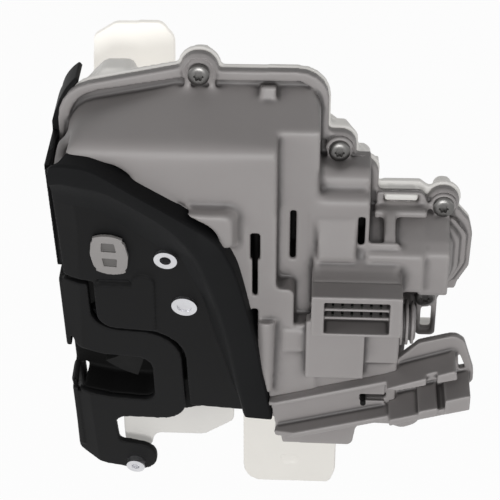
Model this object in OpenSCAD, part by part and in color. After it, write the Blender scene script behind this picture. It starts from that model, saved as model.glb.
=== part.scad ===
// Door latch actuator: a side door latch with its lock motor, in one housing.
// Millimetres. X runs right, Y runs back into the door, Z runs up.
// The origin is the centre of the fixing bush, on the outer face of the latch plate.
// Two tilted frames are used: plate_frame() for the steel latch, and trim_frame()
// for the rubber trim between the latch and the grey housing.

/* [Latch plate] */
// Lean of the latch plate, its foot further back than its head
plate_pitch = 12; // [8:1:14]
// Turn of the latch plate towards the left
plate_yaw = 5; // [3:1:6]
// Thickness of the latch plate and the striker plate
plate_t = 2.2; // [1.8:0.1:2.4]
// Radius of the thread bore in the fixing bush
bush_bore_r = 1.8; // [1.5:0.1:2.2]
// Radius of the bush flange
bush_flange_r = 3.7; // [3.3:0.1:4]
// Radius of the pawl rivet's head
rivet_head_r = 4.15; // [3.5:0.05:4.4]

/* [Catch and pawl] */
// Outer radius of the forked catch
catch_r = 23.5; // [22.5:0.1:23.5]
// Distance from the catch pin to the striker when the latch is shut
striker_dist = 19; // [18:0.1:19]
// Half the width of the catch's fork
fork_half = 5.6; // [4.5:0.1:5.6]
// Thickness of the catch and the pawl
catch_t = 7; // [5:0.5:7]
// Turn of the catch from open to shut, degrees
catch_swing = 46; // [40:1:48]

/* [Housing depths] */
// Front face of the main block
y_face = -2; // [-3:0.5:-1]
// Recessed face right of the main block
y_mid = 5; // [4:0.5:6]
// Front of the joint flange
y_flange = 20.8; // [20:0.1:21]
// Where the two half housings meet
y_split = 22; // [22:0.5:22.5]
// Back of the rear housing
y_back = 42; // [41:0.5:43]

/* [Lock drive] */
// Teeth on the worm wheel
wheel_teeth = 24; // [24:1:24]
// Module of the worm and its wheel
worm_module = 1.25; // [1.2:0.05:1.25]
// Teeth on the pinion that drives the lock slide
pinion_teeth = 12; // [12:1:12]

/* [Connector] */
// Width of the socket outside
socket_w = 28.2; // [26:0.2:29]
// Height of the socket outside
socket_h = 15.2; // [14:0.2:16]

/* [Hidden] */
$fn = 48;

// Latch layout in the plate frame, as [x, z]
catch_at = [-8, -43.5];
pawl_at = [4.7, -22.1];
rotor_at = [-17.8, 0.6];
plate_screw_at = [-17.9, -112.6];
closed_dir = -105;
catch_y = 4;
case_y = 15;
pin_plate_y = 17;

// Housing screws in the row frame, as [x, z]
screw_at = [[10.1, 56.6], [53.3, 30.6], [86.6, 10.6], [82.8, -25.1]];
head_y = 17.3;
stub_at = [60.2, 22.2];

// Lock drive in the row frame
drive_y = 25;
wheel_at = [16.6, 2];
worm_r = 3.6;
wheel_r = wheel_teeth * worm_module / 2;
worm_x = wheel_at[0] + wheel_r + worm_r;
worm_pitch = PI * worm_module;
pinion_module = 1;
pinion_r = pinion_teeth * pinion_module / 2;

lever_at = [66.3, -25];
lever_arm = 27.6;
lever_rest = -6;
outer_lever_at = [30, -22];
key_cam_at = [44, 22];

grey = [0.57, 0.55, 0.54];
white = [0.87, 0.86, 0.84];
cream = [0.82, 0.81, 0.78];
black = [0.16, 0.16, 0.17];
steel = [0.75, 0.76, 0.78];
brass = [0.78, 0.62, 0.32];

// Points of an arc that rounds corner q, coming from p and going on to s
function unit(v) = v / norm(v);
function corner(p, q, s, r, n) =
    let (a = unit(p - q), b = unit(s - q), half = acos(a * b) / 2)
    r <= 0 || half > 89 ? [q] :
    let (reach = r / tan(half), centre = q + unit(a + b) * r / sin(half),
         u = q + a * reach - centre, w = q + b * reach - centre, sweep = 180 - 2 * half)
    [for (i = [0:n]) centre + (u * sin((1 - i / n) * sweep) + w * sin(i / n * sweep)) / sin(sweep)];

// Outline with rounded corners from a list of [x, y, radius]
function rounded(pts, n = 5) =
    let (k = len(pts))
    [for (i = [0:k - 1]) each corner(
        [pts[(i + k - 1) % k][0], pts[(i + k - 1) % k][1]], [pts[i][0], pts[i][1]],
        [pts[(i + 1) % k][0], pts[(i + 1) % k][1]], pts[i][2], n)];

// Extrudes an XZ outline from y0 back to y1
module slab(y0, y1) {
    translate([0, y1, 0]) rotate([90, 0, 0]) linear_extrude(y1 - y0) children();
}

// Extrudes a YZ outline from x0 to x1
module side_slab(x0, x1) {
    translate([x0, 0, 0]) rotate([90, 0, 90]) linear_extrude(x1 - x0) children();
}

// Round bar along Y at [x, z]
module bar(at, r, y0, y1) {
    translate([at[0], y1, at[1]]) rotate([90, 0, 0]) cylinder(h = y1 - y0, r = r);
}

// Block between two corners
module block(low, high) {
    translate(low) cube(high - low);
}

module plate_frame() {
    rotate([plate_pitch, 0, -plate_yaw]) children();
}

module trim_frame() {
    rotate([5, 0, -plate_yaw]) children();
}

// Wire of diameter d along points, as a closed skin with six sides
module wire(pts, d) {
    sides = 6;
    last = len(pts) - 1;
    ahead = [for (i = [0:last]) unit(pts[min(i + 1, last)] - pts[max(i - 1, 0)])];
    ring = [for (i = [0:last])
        let (side = unit(cross(ahead[i], [0.02, 1, 0.03])), up = cross(side, ahead[i]))
        for (k = [0:sides - 1])
            pts[i] + d / 2 * (cos(360 * k / sides) * side + sin(360 * k / sides) * up)];
    polyhedron(ring, concat(
        [[for (k = [0:sides - 1]) k]],
        [for (i = [0:last - 1], k = [0:sides - 1])
            [i * sides + k, (i + 1) * sides + k,
             (i + 1) * sides + (k + 1) % sides, i * sides + (k + 1) % sides]],
        [[for (k = [sides - 1:-1:0]) last * sides + k]]));
}

// Torsion spring round [x, z]: turns of wire along Y, and a straight leg at each end
module torsion_spring(at, r, d, turns, y0, leg, start) {
    steps = 14;
    pitch = d * 1.25;
    function on_coil(i) = [at[0] + r * cos(start + 360 * i / steps), y0 + pitch * i / steps,
                           at[1] + r * sin(start + 360 * i / steps)];
    last = floor(turns * steps);
    lead_in = on_coil(0) + leg * [sin(start), 0, -cos(start)];
    lead_out = on_coil(last) + leg * [-sin(start + 360 * turns), 0, cos(start + 360 * turns)];
    wire(concat([lead_in], [for (i = [0:last]) on_coil(i)], [lead_out]), d);
}

// Outlines in the plate frame
function latch_plate_pts() = rounded([
    [-34.4, 34, 3], [-16, 34, 8], [10, 17, 6], [16.5, 8, 8], [24.5, -20, 60],
    [29, -75.6, 3], [3.6, -75.6, 0.6], [3.6, -36.7, 13], [-25, -36.7, 6],
    [-24.6, -14.2, 0.8], [-34.4, -13.6, 0.5]]);
function striker_plate_pts() = rounded([
    [-35.2, -16.2, 0.8], [-26.8, -16.6, 0.8], [-27.2, -38.6, 8.5], [2, -38.4, 12.5],
    [2, -84.4, 9.5], [-23.8, -86.4, 5], [-23.2, -101, 2], [-10.2, -102.8, 6],
    [-10.4, -118.6, 7.5], [-30, -115.2, 8], [-38.9, -109.6, 4], [-37.2, -70, 2],
    [-35.4, -73.2, 3], [-24, -75.5, 10], [-8.6, -75.5, 4.5], [-8.2, -51.8, 5.5],
    [-25.4, -51.8, 10], [-33.4, -49, 2], [-35.2, -44, 2.5]], 6);
function case_pts() = rounded([
    [-32, 33, 3], [-17, 33, 6], [8.5, 16, 5], [14.5, 8, 8], [22.5, -20, 40],
    [26, -72, 3], [5, -80, 3], [-3, -83, 5], [-34, -83, 3], [-34, -17, 1], [-32, -14, 1]]);

// Outline of the trim in its own frame
function trim_outer_pts() = [
    [-33.6, 38.6, 4], [-22, 38.6, 10], [16.2, 15.6, 9], [25, -14, 60], [34.3, -62, 1]];
function trim_pts() = rounded(concat(trim_outer_pts(), [
    [22, -62, 1], [16.6, -14, 40], [8.6, 8, 8], [-19, 28.6, 8], [-33.6, 30, 2]]));

// Outline of the joint flange without its screw lugs
function flange_pts() = rounded(concat(
    [[-33.9, -30, 3], [-33.9, 48.8, 13], [5, 57.6, 8], [12, 56.6, 6], [49.7, 56.8, 9.5],
    [49.7, 35.9, 1.2], [58.4, 35.9, 5], [58.6, 26.9, 1.5], [65.9, 24.6, 6]], flange_right_pts()));

function flange_right_pts() = [
    [65.9, 13.9, 0.6], [79.6, 14.1, 3], [82, 11, 1], [91.8, 7.9, 2], [95.4, 3.5, 2], [96.7, -1.6, 3],
    [96.4, -14, 3], [93.8, -19, 3], [91, -30, 4], [88, -36, 4], [78, -40, 3], [77, -60, 5],
    [68, -71, 5], [34, -74, 5], [16, -60, 5], [16, -30, 4]];

// All that the latch fills in the housings: the trim's prism and the case
module latch_pocket() {
    gap = 0.15;
    trim_frame() slab(-40, 9.2) polygon(rounded([
        [-80, 38.6 + gap, 0], [-22, 38.6 + gap, 10], [16.3, 15.7 + gap, 9],
        [25 + gap, -14, 60], [34.3 + gap, -62, 0], [44.5, -130, 0], [-80, -130, 0]]));
    plate_frame() slab(0, 3) polygon(rounded([
        [-80, 34.2, 0], [-16, 34.2, 8], [10.1, 17.2, 6], [16.7, 8.1, 8], [24.7, -20, 60],
        [29.3, -75.9, 0], [-80, -75.9, 0]]));
    plate_frame() slab(0, pin_plate_y + gap) polygon(rounded([
        [-80, 33 + gap, 0], [-17, 33 + gap, 6], [8.6, 16 + gap, 5], [14.6 + gap, 8, 8],
        [22.5 + gap, -20, 40], [26 + gap, -72 - gap, 3], [5, -80 - gap, 3],
        [-3, -83 - gap, 5], [-80, -83 - gap, 0]]));
}

// Mouth that the striker enters, in the plate frame
module striker_path(y0, y1) {
    slab(y0, y1) polygon(rounded([
        [-60, -50, 0], [-33, -50, 2], [-25.4, -51.8, 10], [-8.2, -51.8, 5.5],
        [-8.6, -75.5, 4.5], [-24, -75.5, 10], [-35.4, -73.2, 3], [-60, -73.2, 0]]));
}

// Screw bores through the joint flange
module screw_bores(r, y0, y1) {
    for (at = screw_at) bar(at, r, y0, y1);
}

module drive_room() {
    // motor
    block([worm_x - 9.1, drive_y - 7.5, 13], [worm_x + 9.1, drive_y + 7.5, 39.7]);
    // worm
    block([worm_x - 5.6, drive_y - 6, -8.1], [worm_x + 5.6, drive_y + 6, 13.5]);
    // worm wheel, pinion and slide
    block([0.2, 21, -24], [worm_x - 3, 38, 36]);
    // inside release lever
    block([59.4, 3.4, -57], [73.5, 8.6, -19]);
}

module front_housing() color(grey) difference() {
    union() {
        joint_flange();
        main_block();
        lower_block();
        shoulder();
        right_block();
        right_bulge();
        snap_loops();
        connector_base();
    }
    latch_pocket();
    drive_room();
    vent_slots();
    screw_bores(1.7, 0, 30);
    // seats for the screw heads
    for (at = screw_at) bar(at, 4, 9, head_y);
    bar(lever_at, 2, 8, y_split + 1);
    bar(wheel_at, 1.5, 12, y_split + 1);
    // slot for the lever's stud
    block([62.3, -10, -53.9], [71, 4, -51.2]);
    // way for the terminals
    block([50.4, -6, -18.6], [69.6, 12, -7.4]);
    // way for the tongue in the upper snap loop
    block([67.6, 17, 11.1], [78.9, y_split + 1, 14.3]);
}

module joint_flange() {
    difference() {
        slab(y_flange - 0.8, y_split) {
            polygon(flange_pts());
            for (i = [0:3]) translate(screw_at[i]) circle([5.9, 5.3, 5.1, 4.6][i]);
        }
        // groove inside the bead that runs along the edge
        slab(y_flange - 2, y_flange) polygon(rounded([
            [-30.6, -27, 1], [-30.6, 47, 10.5], [5.5, 54.2, 6], [12, 53.4, 4], [46.4, 53.5, 7],
            [46.4, 33, 1], [55.2, 33, 3], [55.4, 24, 1.5], [62.8, 22, 4], [62.8, 10.6, 0.6],
            [79, 10, 1], [91, 5, 2], [93.3, 1, 2], [93.3, -13, 2], [90.6, -18, 2], [87, -28, 2],
            [84, -33, 3], [74, -38, 3], [74, -60, 4], [66, -68, 4], [34, -71, 4], [19, -60, 4],
            [19, -27, 1]]));
    }
    // bosses under the screw heads, with collars round them
    screw_bores(3.6, head_y, y_flange + 0.5);
    bar(screw_at[0], 4.8, 18.5, y_flange + 0.4);
    bar(screw_at[1], 4.3, 17.2, y_flange + 0.4);
    bar(screw_at[2], 4.1, 17.2, y_flange + 0.4);
}

// Main block with its sloped roof, and the recess right of it
module main_block() {
    intersection() {
        union() {
            slab(y_face, y_flange + 0.6) polygon(rounded([
                [-30.8, 10, 0], [-30.8, 43.3, 11], [5, 51.1, 15], [34.6, 51.9, 0], [34.6, -9.9, 2],
                [40.3, -9.9, 2], [40.3, -25.2, 1], [47.4, -25.2, 0], [47.4, -55, 0], [23, -55, 0]]));
            slab(y_mid, y_flange + 0.6) polygon(rounded([
                [33, -58, 0], [33, 51.9, 0], [47.3, 51.9, 7], [47.3, -58, 0]]));
        }
        side_slab(-32, 48) polygon(rounded([
            [y_flange + 0.3, -64, 0], [y_flange + 0.3, 51.1, 0], [y_face, 41, 4], [y_face, -62, 1]]));
    }
    // raised box beside the trim
    hull() {
        slab(y_face - 4.6, y_face - 4.4) polygon(rounded([
            [6, 9, 2], [6, 20.6, 2], [21, 20.6, 3], [21, 9, 2]]));
        slab(y_face + 0.1, y_face + 1) polygon(rounded([
            [3, 5, 2], [3, 21.4, 2], [23.2, 21.4, 3], [23.2, 6.5, 2]]));
    }
    // half-round rib down the front
    translate([31.6, y_face + 0.7, -51]) cylinder(h = 29, r1 = 2.5, r2 = 3.2);
    // small latch tongue on the roof
    side_slab(28.7, 33.5) polygon([[15.2, 47.6], [16.2, 52.6], [17, 53], [21, 51.2], [21, 47.6]]);
}

// Block under the connector, down to the bottom plate
module lower_block() {
    side_slab(33.5, 74) polygon(rounded([[-1.6, -24, 0.5], [-1.6, -56, 1], [2.3, -68, 1],
        [y_flange + 0.7, -68, 0], [y_flange + 0.7, -24, 0]]));
    block([44.3, -4.6, -43.2], [63, 0, -20.3]);
    block([62.8, -2.8, -38], [74.2, 0.2, -20.6]);
    // tab left of the connector
    block([37.6, -2.5, -34.2], [45.2, 0.4, -26]);
    // bottom plate
    slab(2, y_flange + 0.8) polygon(rounded([[24, -56, 0], [24, -69, 2], [28.3, -74.7, 2],
        [33.7, -75.9, 0], [37, -77.8, 1], [60.6, -78, 2], [61.6, -70.5, 3], [64, -67.3, 2],
        [74, -67.3, 0], [74, -54, 0]]));
    // round bulge of the bottom
    slab(5, y_flange + 0.8) polygon(rounded([[64, -60, 0], [64, -70.6, 1], [73, -70.9, 5],
        [77, -72.6, 4], [83.4, -70, 5], [83, -60, 0]]));
}

// Rounded shoulder between the main block and the right block
module shoulder() {
    side_slab(45, 63.2) polygon(rounded([
        [y_flange + 1, 27.5, 0], [12, 27.5, 2], [9.3, 25, 1.5], [9.3, 20.9, 1],
        [y_mid - 0.1, 20.4, 2.5], [y_mid - 0.1, -3.2, 1.2],
        [y_flange + 1, -3.2, 0]], 8));
    // wedge-shaped pad that rises out of the face
    side_slab(47.4, 59.2) polygon(rounded([
        [y_mid + 2, 15.2, 0], [y_mid + 0.3, 15.2, 0.3], [y_mid - 2.6, -1.4, 1.2],
        [y_mid + 2, -4.6, 0]]));
}

// Right block: two stepped faces under a sloped roof, with a round rib on the roof
module right_block() {
    side_slab(62.8, 80.6) polygon(rounded([
        [y_flange + 0.9, 8.6, 0], [8, 3.2, 3], [3, 0.6, 1.5], [3, -14, 1.6],
        [y_flange + 0.9, -15.5, 0]]));
    side_slab(79.5, 88.8) polygon(rounded([
        [y_flange + 0.9, 8.4, 0], [8, 3, 3], [4.4, 0.4, 1.5], [4.4, -15.8, 1.6],
        [y_flange + 0.9, -18, 0]]));
    side_slab(68, 71.6) polygon(rounded([[18, 7, 0], [14, 10, 1], [12.5, 9.6, 1], [4.6, 2.6, 1],
        [6, -1, 0], [18, -1, 0]]));
}

// Nested steps of the bulge on the far right
module right_bulge() {
    for (i = [0:2])
        slab(y_flange - 3 * (i + 1), y_flange + 0.3 + 0.1 * i) polygon(rounded([
            [82, 5 - i, 0], [90 - i, 5.4 - i, 3], [94.8 - 2.3 * i, -1, 4],
            [94.8 - 2.3 * i, -12, 5], [90.5 - i, -20.6 + 2 * i, 4], [82, -20 + 2 * i, 0]]));
}

// Two snap loops that hold the tongues of the rear housing
module snap_loops() {
    slab(17.4, y_flange + 0.2) difference() {
        polygon(rounded([[65.6, 9, 0], [65.6, 14.9, 0.5], [80, 15.1, 2.5], [82.6, 9, 0]]));
        polygon(rounded([[67.6, 11.1, 0.4], [67.6, 14.3, 0.4], [78.9, 14.3, 0.4], [78.9, 11.1, 0.4]]));
    }
    // shelf in front of the upper loop
    block([65, 13.7, 7.6], [81.6, 18, 10.3]);
    slab(18.2, 21.4) difference() {
        polygon(rounded([[80.4, -20, 0], [80.4, -42.6, 1.6], [87, -42.2, 1.6], [86.8, -20, 0]]));
        polygon(rounded([[81.9, -31, 0.5], [82.1, -40.4, 0.8], [85.6, -40.2, 0.8], [85.4, -31, 0.5]]));
    }
}

// Base that carries the connector socket
module connector_base() {
    block([45.8, -4, -20.2], [74, y_mid + 1, -5.2]);
    side_slab(46, 73) polygon(rounded([[y_mid + 1, 4, 0], [y_mid - 0.1, 4, 0],
        [y_mid - 0.1, -4.9, 4.5], [-2.6, -4.9, 0], [-2.6, -7, 0], [y_mid + 1, -7, 0]]));
}

module vent_slots() {
    block([26.5, -10, 1.4], [29.5, 12, 11.5]);
    block([27.1, -10, -12.5], [28.8, 12, 2]);
    block([26.7, -10, -34.5], [28.9, 12, -17.7]);
    block([38.6, -10, -2.8], [40.5, 16, 15.6]);
    block([59.7, -10, 2.6], [61.9, 16, 13.7]);
}

module rear_housing() color(white) difference() {
    union() {
        // rim behind the joint flange
        slab(y_split, y_split + 1.6) {
            polygon(rounded(concat([
                [-32.6, -20, 3], [-32.6, 49.6, 13], [5, 58, 8], [12, 56.9, 6], [50.2, 57.1, 10],
                [50.2, 36.4, 1], [58.9, 36.3, 5], [59.1, 27.4, 1.5], [66.4, 25.2, 6]],
                flange_right_pts())));
            for (i = [0:3]) translate(screw_at[i]) circle([6.6, 6, 5.8, 5.2][i]);
        }
        // dished back, narrower towards the rear
        hull() {
            slab(y_split + 1, y_split + 2) polygon(rounded([
                [-30, 20, 3], [-30, 42, 8], [-22, 50, 6], [5, 53, 8], [47, 53, 9],
                [64, 22, 6], [64, -50, 6], [50, -68, 6], [16, -68, 6]]));
            slab(y_back - 1, y_back) polygon(rounded([
                [-28, 16, 3], [-28, 36, 6], [-20, 41, 6], [5, 43, 8], [40, 43, 9],
                [58, 18, 6], [58, -48, 6], [46, -62, 6], [-12, -78, 6]]));
        }
        hull() {
            slab(y_split + 1, y_split + 2) polygon(rounded([
                [55, -30, 3], [55, 12, 3], [90, 10, 5], [93, -10, 5], [87, -30, 5]]));
            slab(y_back - 11, y_back - 10) polygon(rounded([
                [55, -26, 3], [55, 8, 3], [84, 2, 5], [86, -10, 5], [80, -26, 5]]));
        }
        // screw bosses
        for (i = [0:3]) bar(screw_at[i], [3.4, 3.3, 3.1, 3][i], y_split + 0.5, y_split + 8);
        bar(stub_at, 3.2, y_split + 0.5, y_split + 8);
        // moulding above the flange at the left
        slab(y_split + 1.5, y_split + 8) polygon(rounded([
            [-29.4, 34, 2], [-29.4, 43, 3], [-19.8, 54, 4], [-11, 54.6, 3], [-8.8, 49, 2], [-8.8, 34, 0]]));
        // tongues in the snap loops
        block([68, 17.8, 11.5], [78.5, y_split + 1, 13.9]);
        rear_bracket();
    }
    latch_pocket();
    drive_room();
    screw_bores(1.45, y_split - 1, y_split + 7.4);
    bar(lever_at, 2, y_split - 1, y_split + 6);
    bar(wheel_at, 1.5, y_split - 1, y_back - 1.5);
    bar(outer_lever_at, 2, y_back - 4, y_back + 1);
    bar(key_cam_at, 3, y_back - 4, y_back + 1);
}

// Light bracket behind the foot of the striker plate
module rear_bracket() {
    slab(28.6, 31) polygon(rounded([
        [-20, -76, 0], [-20, -97, 3], [-19.6, -106, 3], [-10.5, -106, 3], [-9, -99, 3],
        [9, -99, 3], [19.4, -92, 3], [19.4, -76, 0]]));
    slab(30, y_back - 1.2) polygon(rounded([
        [-20, -88, 1], [-20, -70, 0], [19.4, -64, 0], [19.4, -85.5, 1]]));
}

module latch_plate() color(black) {
    difference() {
        union() {
            plate_frame() slab(0, plate_t) polygon(latch_plate_pts());
            plate_frame() slab(-0.8, 0.5) polygon(rounded([
                [-24.4, -15.4, 1.5], [-12, -14.6, 1], [-11, -8.6, 3], [-4.4, -9.6, 3],
                [-5.6, -36, 0.5], [-24.8, -36, 6]]));
            side_wall();
        }
        plate_frame() {
            bar([0, 0], 3, -1, plate_t + 1);
            bar(pawl_at, 2.9, -1, plate_t + 1);
            bar(rotor_at, 4.3, -1, plate_t + 1);
            // groove above the raised pad
            slab(-1, 0.9) polygon([[-23.4, -14.6], [-23.4, -13], [-12.6, -12.2], [-12.2, -14]]);
        }
    }
}

// Side wall of the latch plate, bent round the corner of the housings
module side_wall() {
    intersection() {
        union() {
            block([-36, -20, -11.5], [-34.05, 50, 38.6]);
            slab(-20, 50) intersection() {
                translate([-20.9, 38.4]) difference() {
                    circle(15.1);
                    circle(13.5);
                }
                polygon([[-20.9, 38.4], [-45, 38.4], [-45, 62.8], [-38, 62.8]]);
            }
        }
        side_slab(-37, -27) polygon(rounded([
            [3, 16, 0], [-2.6, 33, 3], [14, 37, 4], [24, 52, 3], [41.5, 52, 3], [41.5, 30, 6],
            [30, 10, 10], [28, -10, 4], [8, -11, 0]]));
    }
}

// S-shaped lower plate with the striker's mouth, its side wall and the screw lug
module striker_plate() color(black) {
    difference() {
        union() {
            plate_frame() slab(0.4, plate_t + 0.4) polygon(striker_plate_pts());
            side_slab(-36.2, -34.4) polygon(rounded([
                [7.2, -17, 0], [30, -16, 3], [34, -30, 4], [36, -100, 4], [28, -104, 2], [25, -104, 0]]));
            // flared lip of the side wall under the mouth
            plate_frame() slab(13.2, 15) polygon(rounded([
                [-35.5, -70, 0], [-39.6, -75.2, 3], [-41.4, -84, 4], [-40.6, -92, 3], [-35.5, -96, 0]]));
        }
        plate_frame() {
            striker_path(-2, 15.2);
            bar(plate_screw_at, 1.7, -1, 4);
            bar(catch_at, 4, 1.4, 4);
        }
    }
}

// Rubber trim: a proud band round the plate, stepped along its inner edge
module edge_trim() color([0.14, 0.14, 0.15]) difference() {
    trim_frame() difference() {
        slab(-6.5, 9) polygon(trim_pts());
        slab(-8, -3.4) polygon(rounded([
            [27, -63, 0], [22, -22, 40], [11.5, 9.2, 8], [-17, 28, 8], [-17, 20, 0], [8, 4, 0], [20, -63, 0]]));
        slab(-8, -5) polygon(rounded([
            [29.6, -63, 0], [24, -22, 40], [14, 9.4, 8], [8, 8, 0], [20, -63, 0]]));
    }
    plate_frame() slab(-0.02, 30) polygon(rounded([
        [-60, 34.2, 0], [-16, 34.2, 8], [10.1, 17.2, 6], [16.7, 8.1, 8], [24.7, -20, 60],
        [29.3, -75.9, 0], [-60, -75.9, 0]]));
    block([-36.2, -20, -20], [-33.9, 40, 39.5]);
}

// Tray behind the plates that the catch and the pawl turn in
module latch_case() color(black) plate_frame() difference() {
    union() {
        slab(plate_t + 0.45, case_y) polygon(case_pts());
        // lining of the mouth, out through the side wall
        slab(13, 15) polygon([[-38, -72.8], [-38, -51], [-33, -51], [-33, -72.8]]);
    }
    slab(0, 13) {
        translate(catch_at) circle(catch_r + 0.4);
        polygon(rounded([[-14, -32, 0], [-14, -15.5, 2], [-2, -11, 3], [8, -10, 3], [14, -16, 3],
            [14, -28, 3], [6, -34, 0]]));
    }
    striker_path(-1, 13);
    bar([0, 0], 3, 0, 10);
    bar(catch_at, 4, 12, 16);
    bar(pawl_at, 2.9, 12, 16);
    bar(rotor_at, 4.3, 0, 9);
}

// Steel plate behind the tray that ties the pins together
module pin_plate() color(steel) plate_frame() difference() {
    slab(case_y, pin_plate_y) polygon(rounded([
        [-20, -36, 5], [-10, -24, 5], [-4, -12, 6], [10, -12, 6], [14, -26, 8], [6, -54, 7],
        [-18, -58, 7]]));
    bar(catch_at, 3, 14, 18);
    bar(pawl_at, 2.9, 14, 18);
}

// Forked catch at rest, open; it shuts by turning anticlockwise seen from the front
module catch() color([0.2, 0.2, 0.21]) plate_frame() slab(catch_y, catch_y + catch_t)
    translate(catch_at) rotate(-catch_swing) difference() {
        union() {
            circle(13);
            intersection() {
                circle(catch_r);
                polygon([[0, 0], for (a = [closed_dir - 45:15:closed_dir + 45]) 30 * [cos(a), sin(a)]]);
            }
            // ratchet tooth
            intersection() {
                circle(17);
                polygon([[0, 0], for (a = [100:15:175]) 30 * [cos(a), sin(a)]]);
            }
        }
        circle(4.06);
        rotate(closed_dir) {
            translate([striker_dist, 0]) circle(fork_half);
            translate([striker_dist, -fork_half]) square([20, 2 * fork_half]);
        }
    }

module pawl() color([0.3, 0.3, 0.31]) plate_frame() difference() {
    union() {
        bar(pawl_at, 5.2, catch_y, catch_y + catch_t);
        slab(catch_y, catch_y + catch_t) {
            polygon([[-9.8, -25.9], [-6.2, -26.1], [-1, -26.2], [4.2, -26.6], [4.2, -17.8],
                [-4, -20.6], [-9.4, -21.8], [-10.4, -23.4]]);
            polygon([[0.6, -20.6], [2.2, -14], [3.4, -12.9], [6.6, -12.9], [7.8, -14], [8.8, -20.6]]);
        }
    }
    bar(pawl_at, 2.95, 0, 20);
}

module catch_pin() color(steel) plate_frame() {
    bar(catch_at, 4, 1.4, case_y);
    bar(catch_at, 3, case_y, pin_plate_y);
}

// Rivet of the pawl, with a shallow dish in its head
module pawl_rivet() color(steel) plate_frame() difference() {
    union() {
        bar(pawl_at, rivet_head_r, -1, 0);
        bar(pawl_at, 2.9, 0, pin_plate_y);
    }
    bar(pawl_at, 2.4, -2, -0.5);
}

// Threaded bush that the door screw enters
module fixing_bush() color(steel) plate_frame() difference() {
    union() {
        bar([0, 0], bush_flange_r, -1.3, 0);
        bar([0, 0], 3, 0, 9.8);
    }
    bar([0, 0], bush_bore_r, -2, 12);
}

module catch_spring() color(steel) plate_frame()
    torsion_spring(catch_at, 5.2, 0.7, 1, 11.6, 6, 60);

module pawl_spring() color(steel) plate_frame()
    torsion_spring(pawl_at, 4, 0.7, 1.25, 11.5, 4, 200);

module catch_buffer() color([0.1, 0.1, 0.1]) plate_frame()
    bar(catch_at + 21.2 * [cos(156.6), sin(156.6)], 2.5, catch_y, 13);

// Rotor that locks the door by hand when there is no power
module emergency_rotor() color(grey) plate_frame() difference() {
    union() {
        slab(-1.6, -0.4) translate(rotor_at) {
            intersection() {
                circle(8.8);
                polygon(rounded([[-5.6, -12, 0], [-4.6, -6.4, 0.6], [-5.4, -5.2, 0.6], [-6.1, 0, 3],
                    [-5.4, 5.2, 0.6], [-4.6, 6.4, 0.6], [-5.6, 12, 0], [5.6, 12, 0],
                    [4.6, 6.4, 0.6], [5.4, 5.2, 0.6], [6.1, 0, 3], [5.4, -5.2, 0.6],
                    [4.6, -6.4, 0.6], [5.6, -12, 0]]));
            }
        }
        bar(rotor_at, 4.2, -0.6, 8.6);
    }
    // two driving pockets
    slab(-3, -0.9) translate(rotor_at) {
        polygon([[-2.4, 1.6], [-2, 5.6], [2, 5.6], [2.4, 1.6]]);
        polygon([[-2.4, -1.4], [-2, -5.2], [2, -5.2], [2.4, -1.4]]);
    }
}

// Domed screw head with a round dish, and its shank
module screw(at, head_r, head_y, shank_r, tip_y) {
    difference() {
        bar(at, head_r, head_y - 2.3, head_y);
        bar(at, head_r * 0.42, head_y - 3, head_y - 1);
    }
    bar(at, shank_r, head_y, tip_y);
}

module plate_screw() color(steel) plate_frame()
    screw(plate_screw_at, 3.3, 0.4, 1.45, 6.9);

module housing_screws() color(steel)
    for (at = screw_at) screw(at, 3.3, head_y, 1.45, y_split + 7);

module connector_socket() color(grey) difference() {
    union() {
        difference() {
            block([74 - socket_w, -12, -4.8 - socket_h], [74, -4, -4.8]);
            block([49.8, -14, -19], [70.2, -4.6, -7]);
        }
        for (i = [0:2]) block([49.6, -8.6, -9.5 - 3.2 * i], [70.4, -4.4, -8.6 - 3.2 * i]);
    }
    for (x = [52.5:3:67.5], z = [-10.7, -14]) block([x - 0.4, -5, z - 0.4], [x + 0.4, -3, z + 0.4]);
}

module connector_pins() color(brass)
    for (x = [52.5:3:67.5], z = [-10.7, -14]) {
        block([x - 0.4, -8.8, z - 0.4], [x + 0.4, 8, z + 0.4]);
        block([x - 0.4, 7, z - 3], [x + 0.4, 8, z]);
    }

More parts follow.
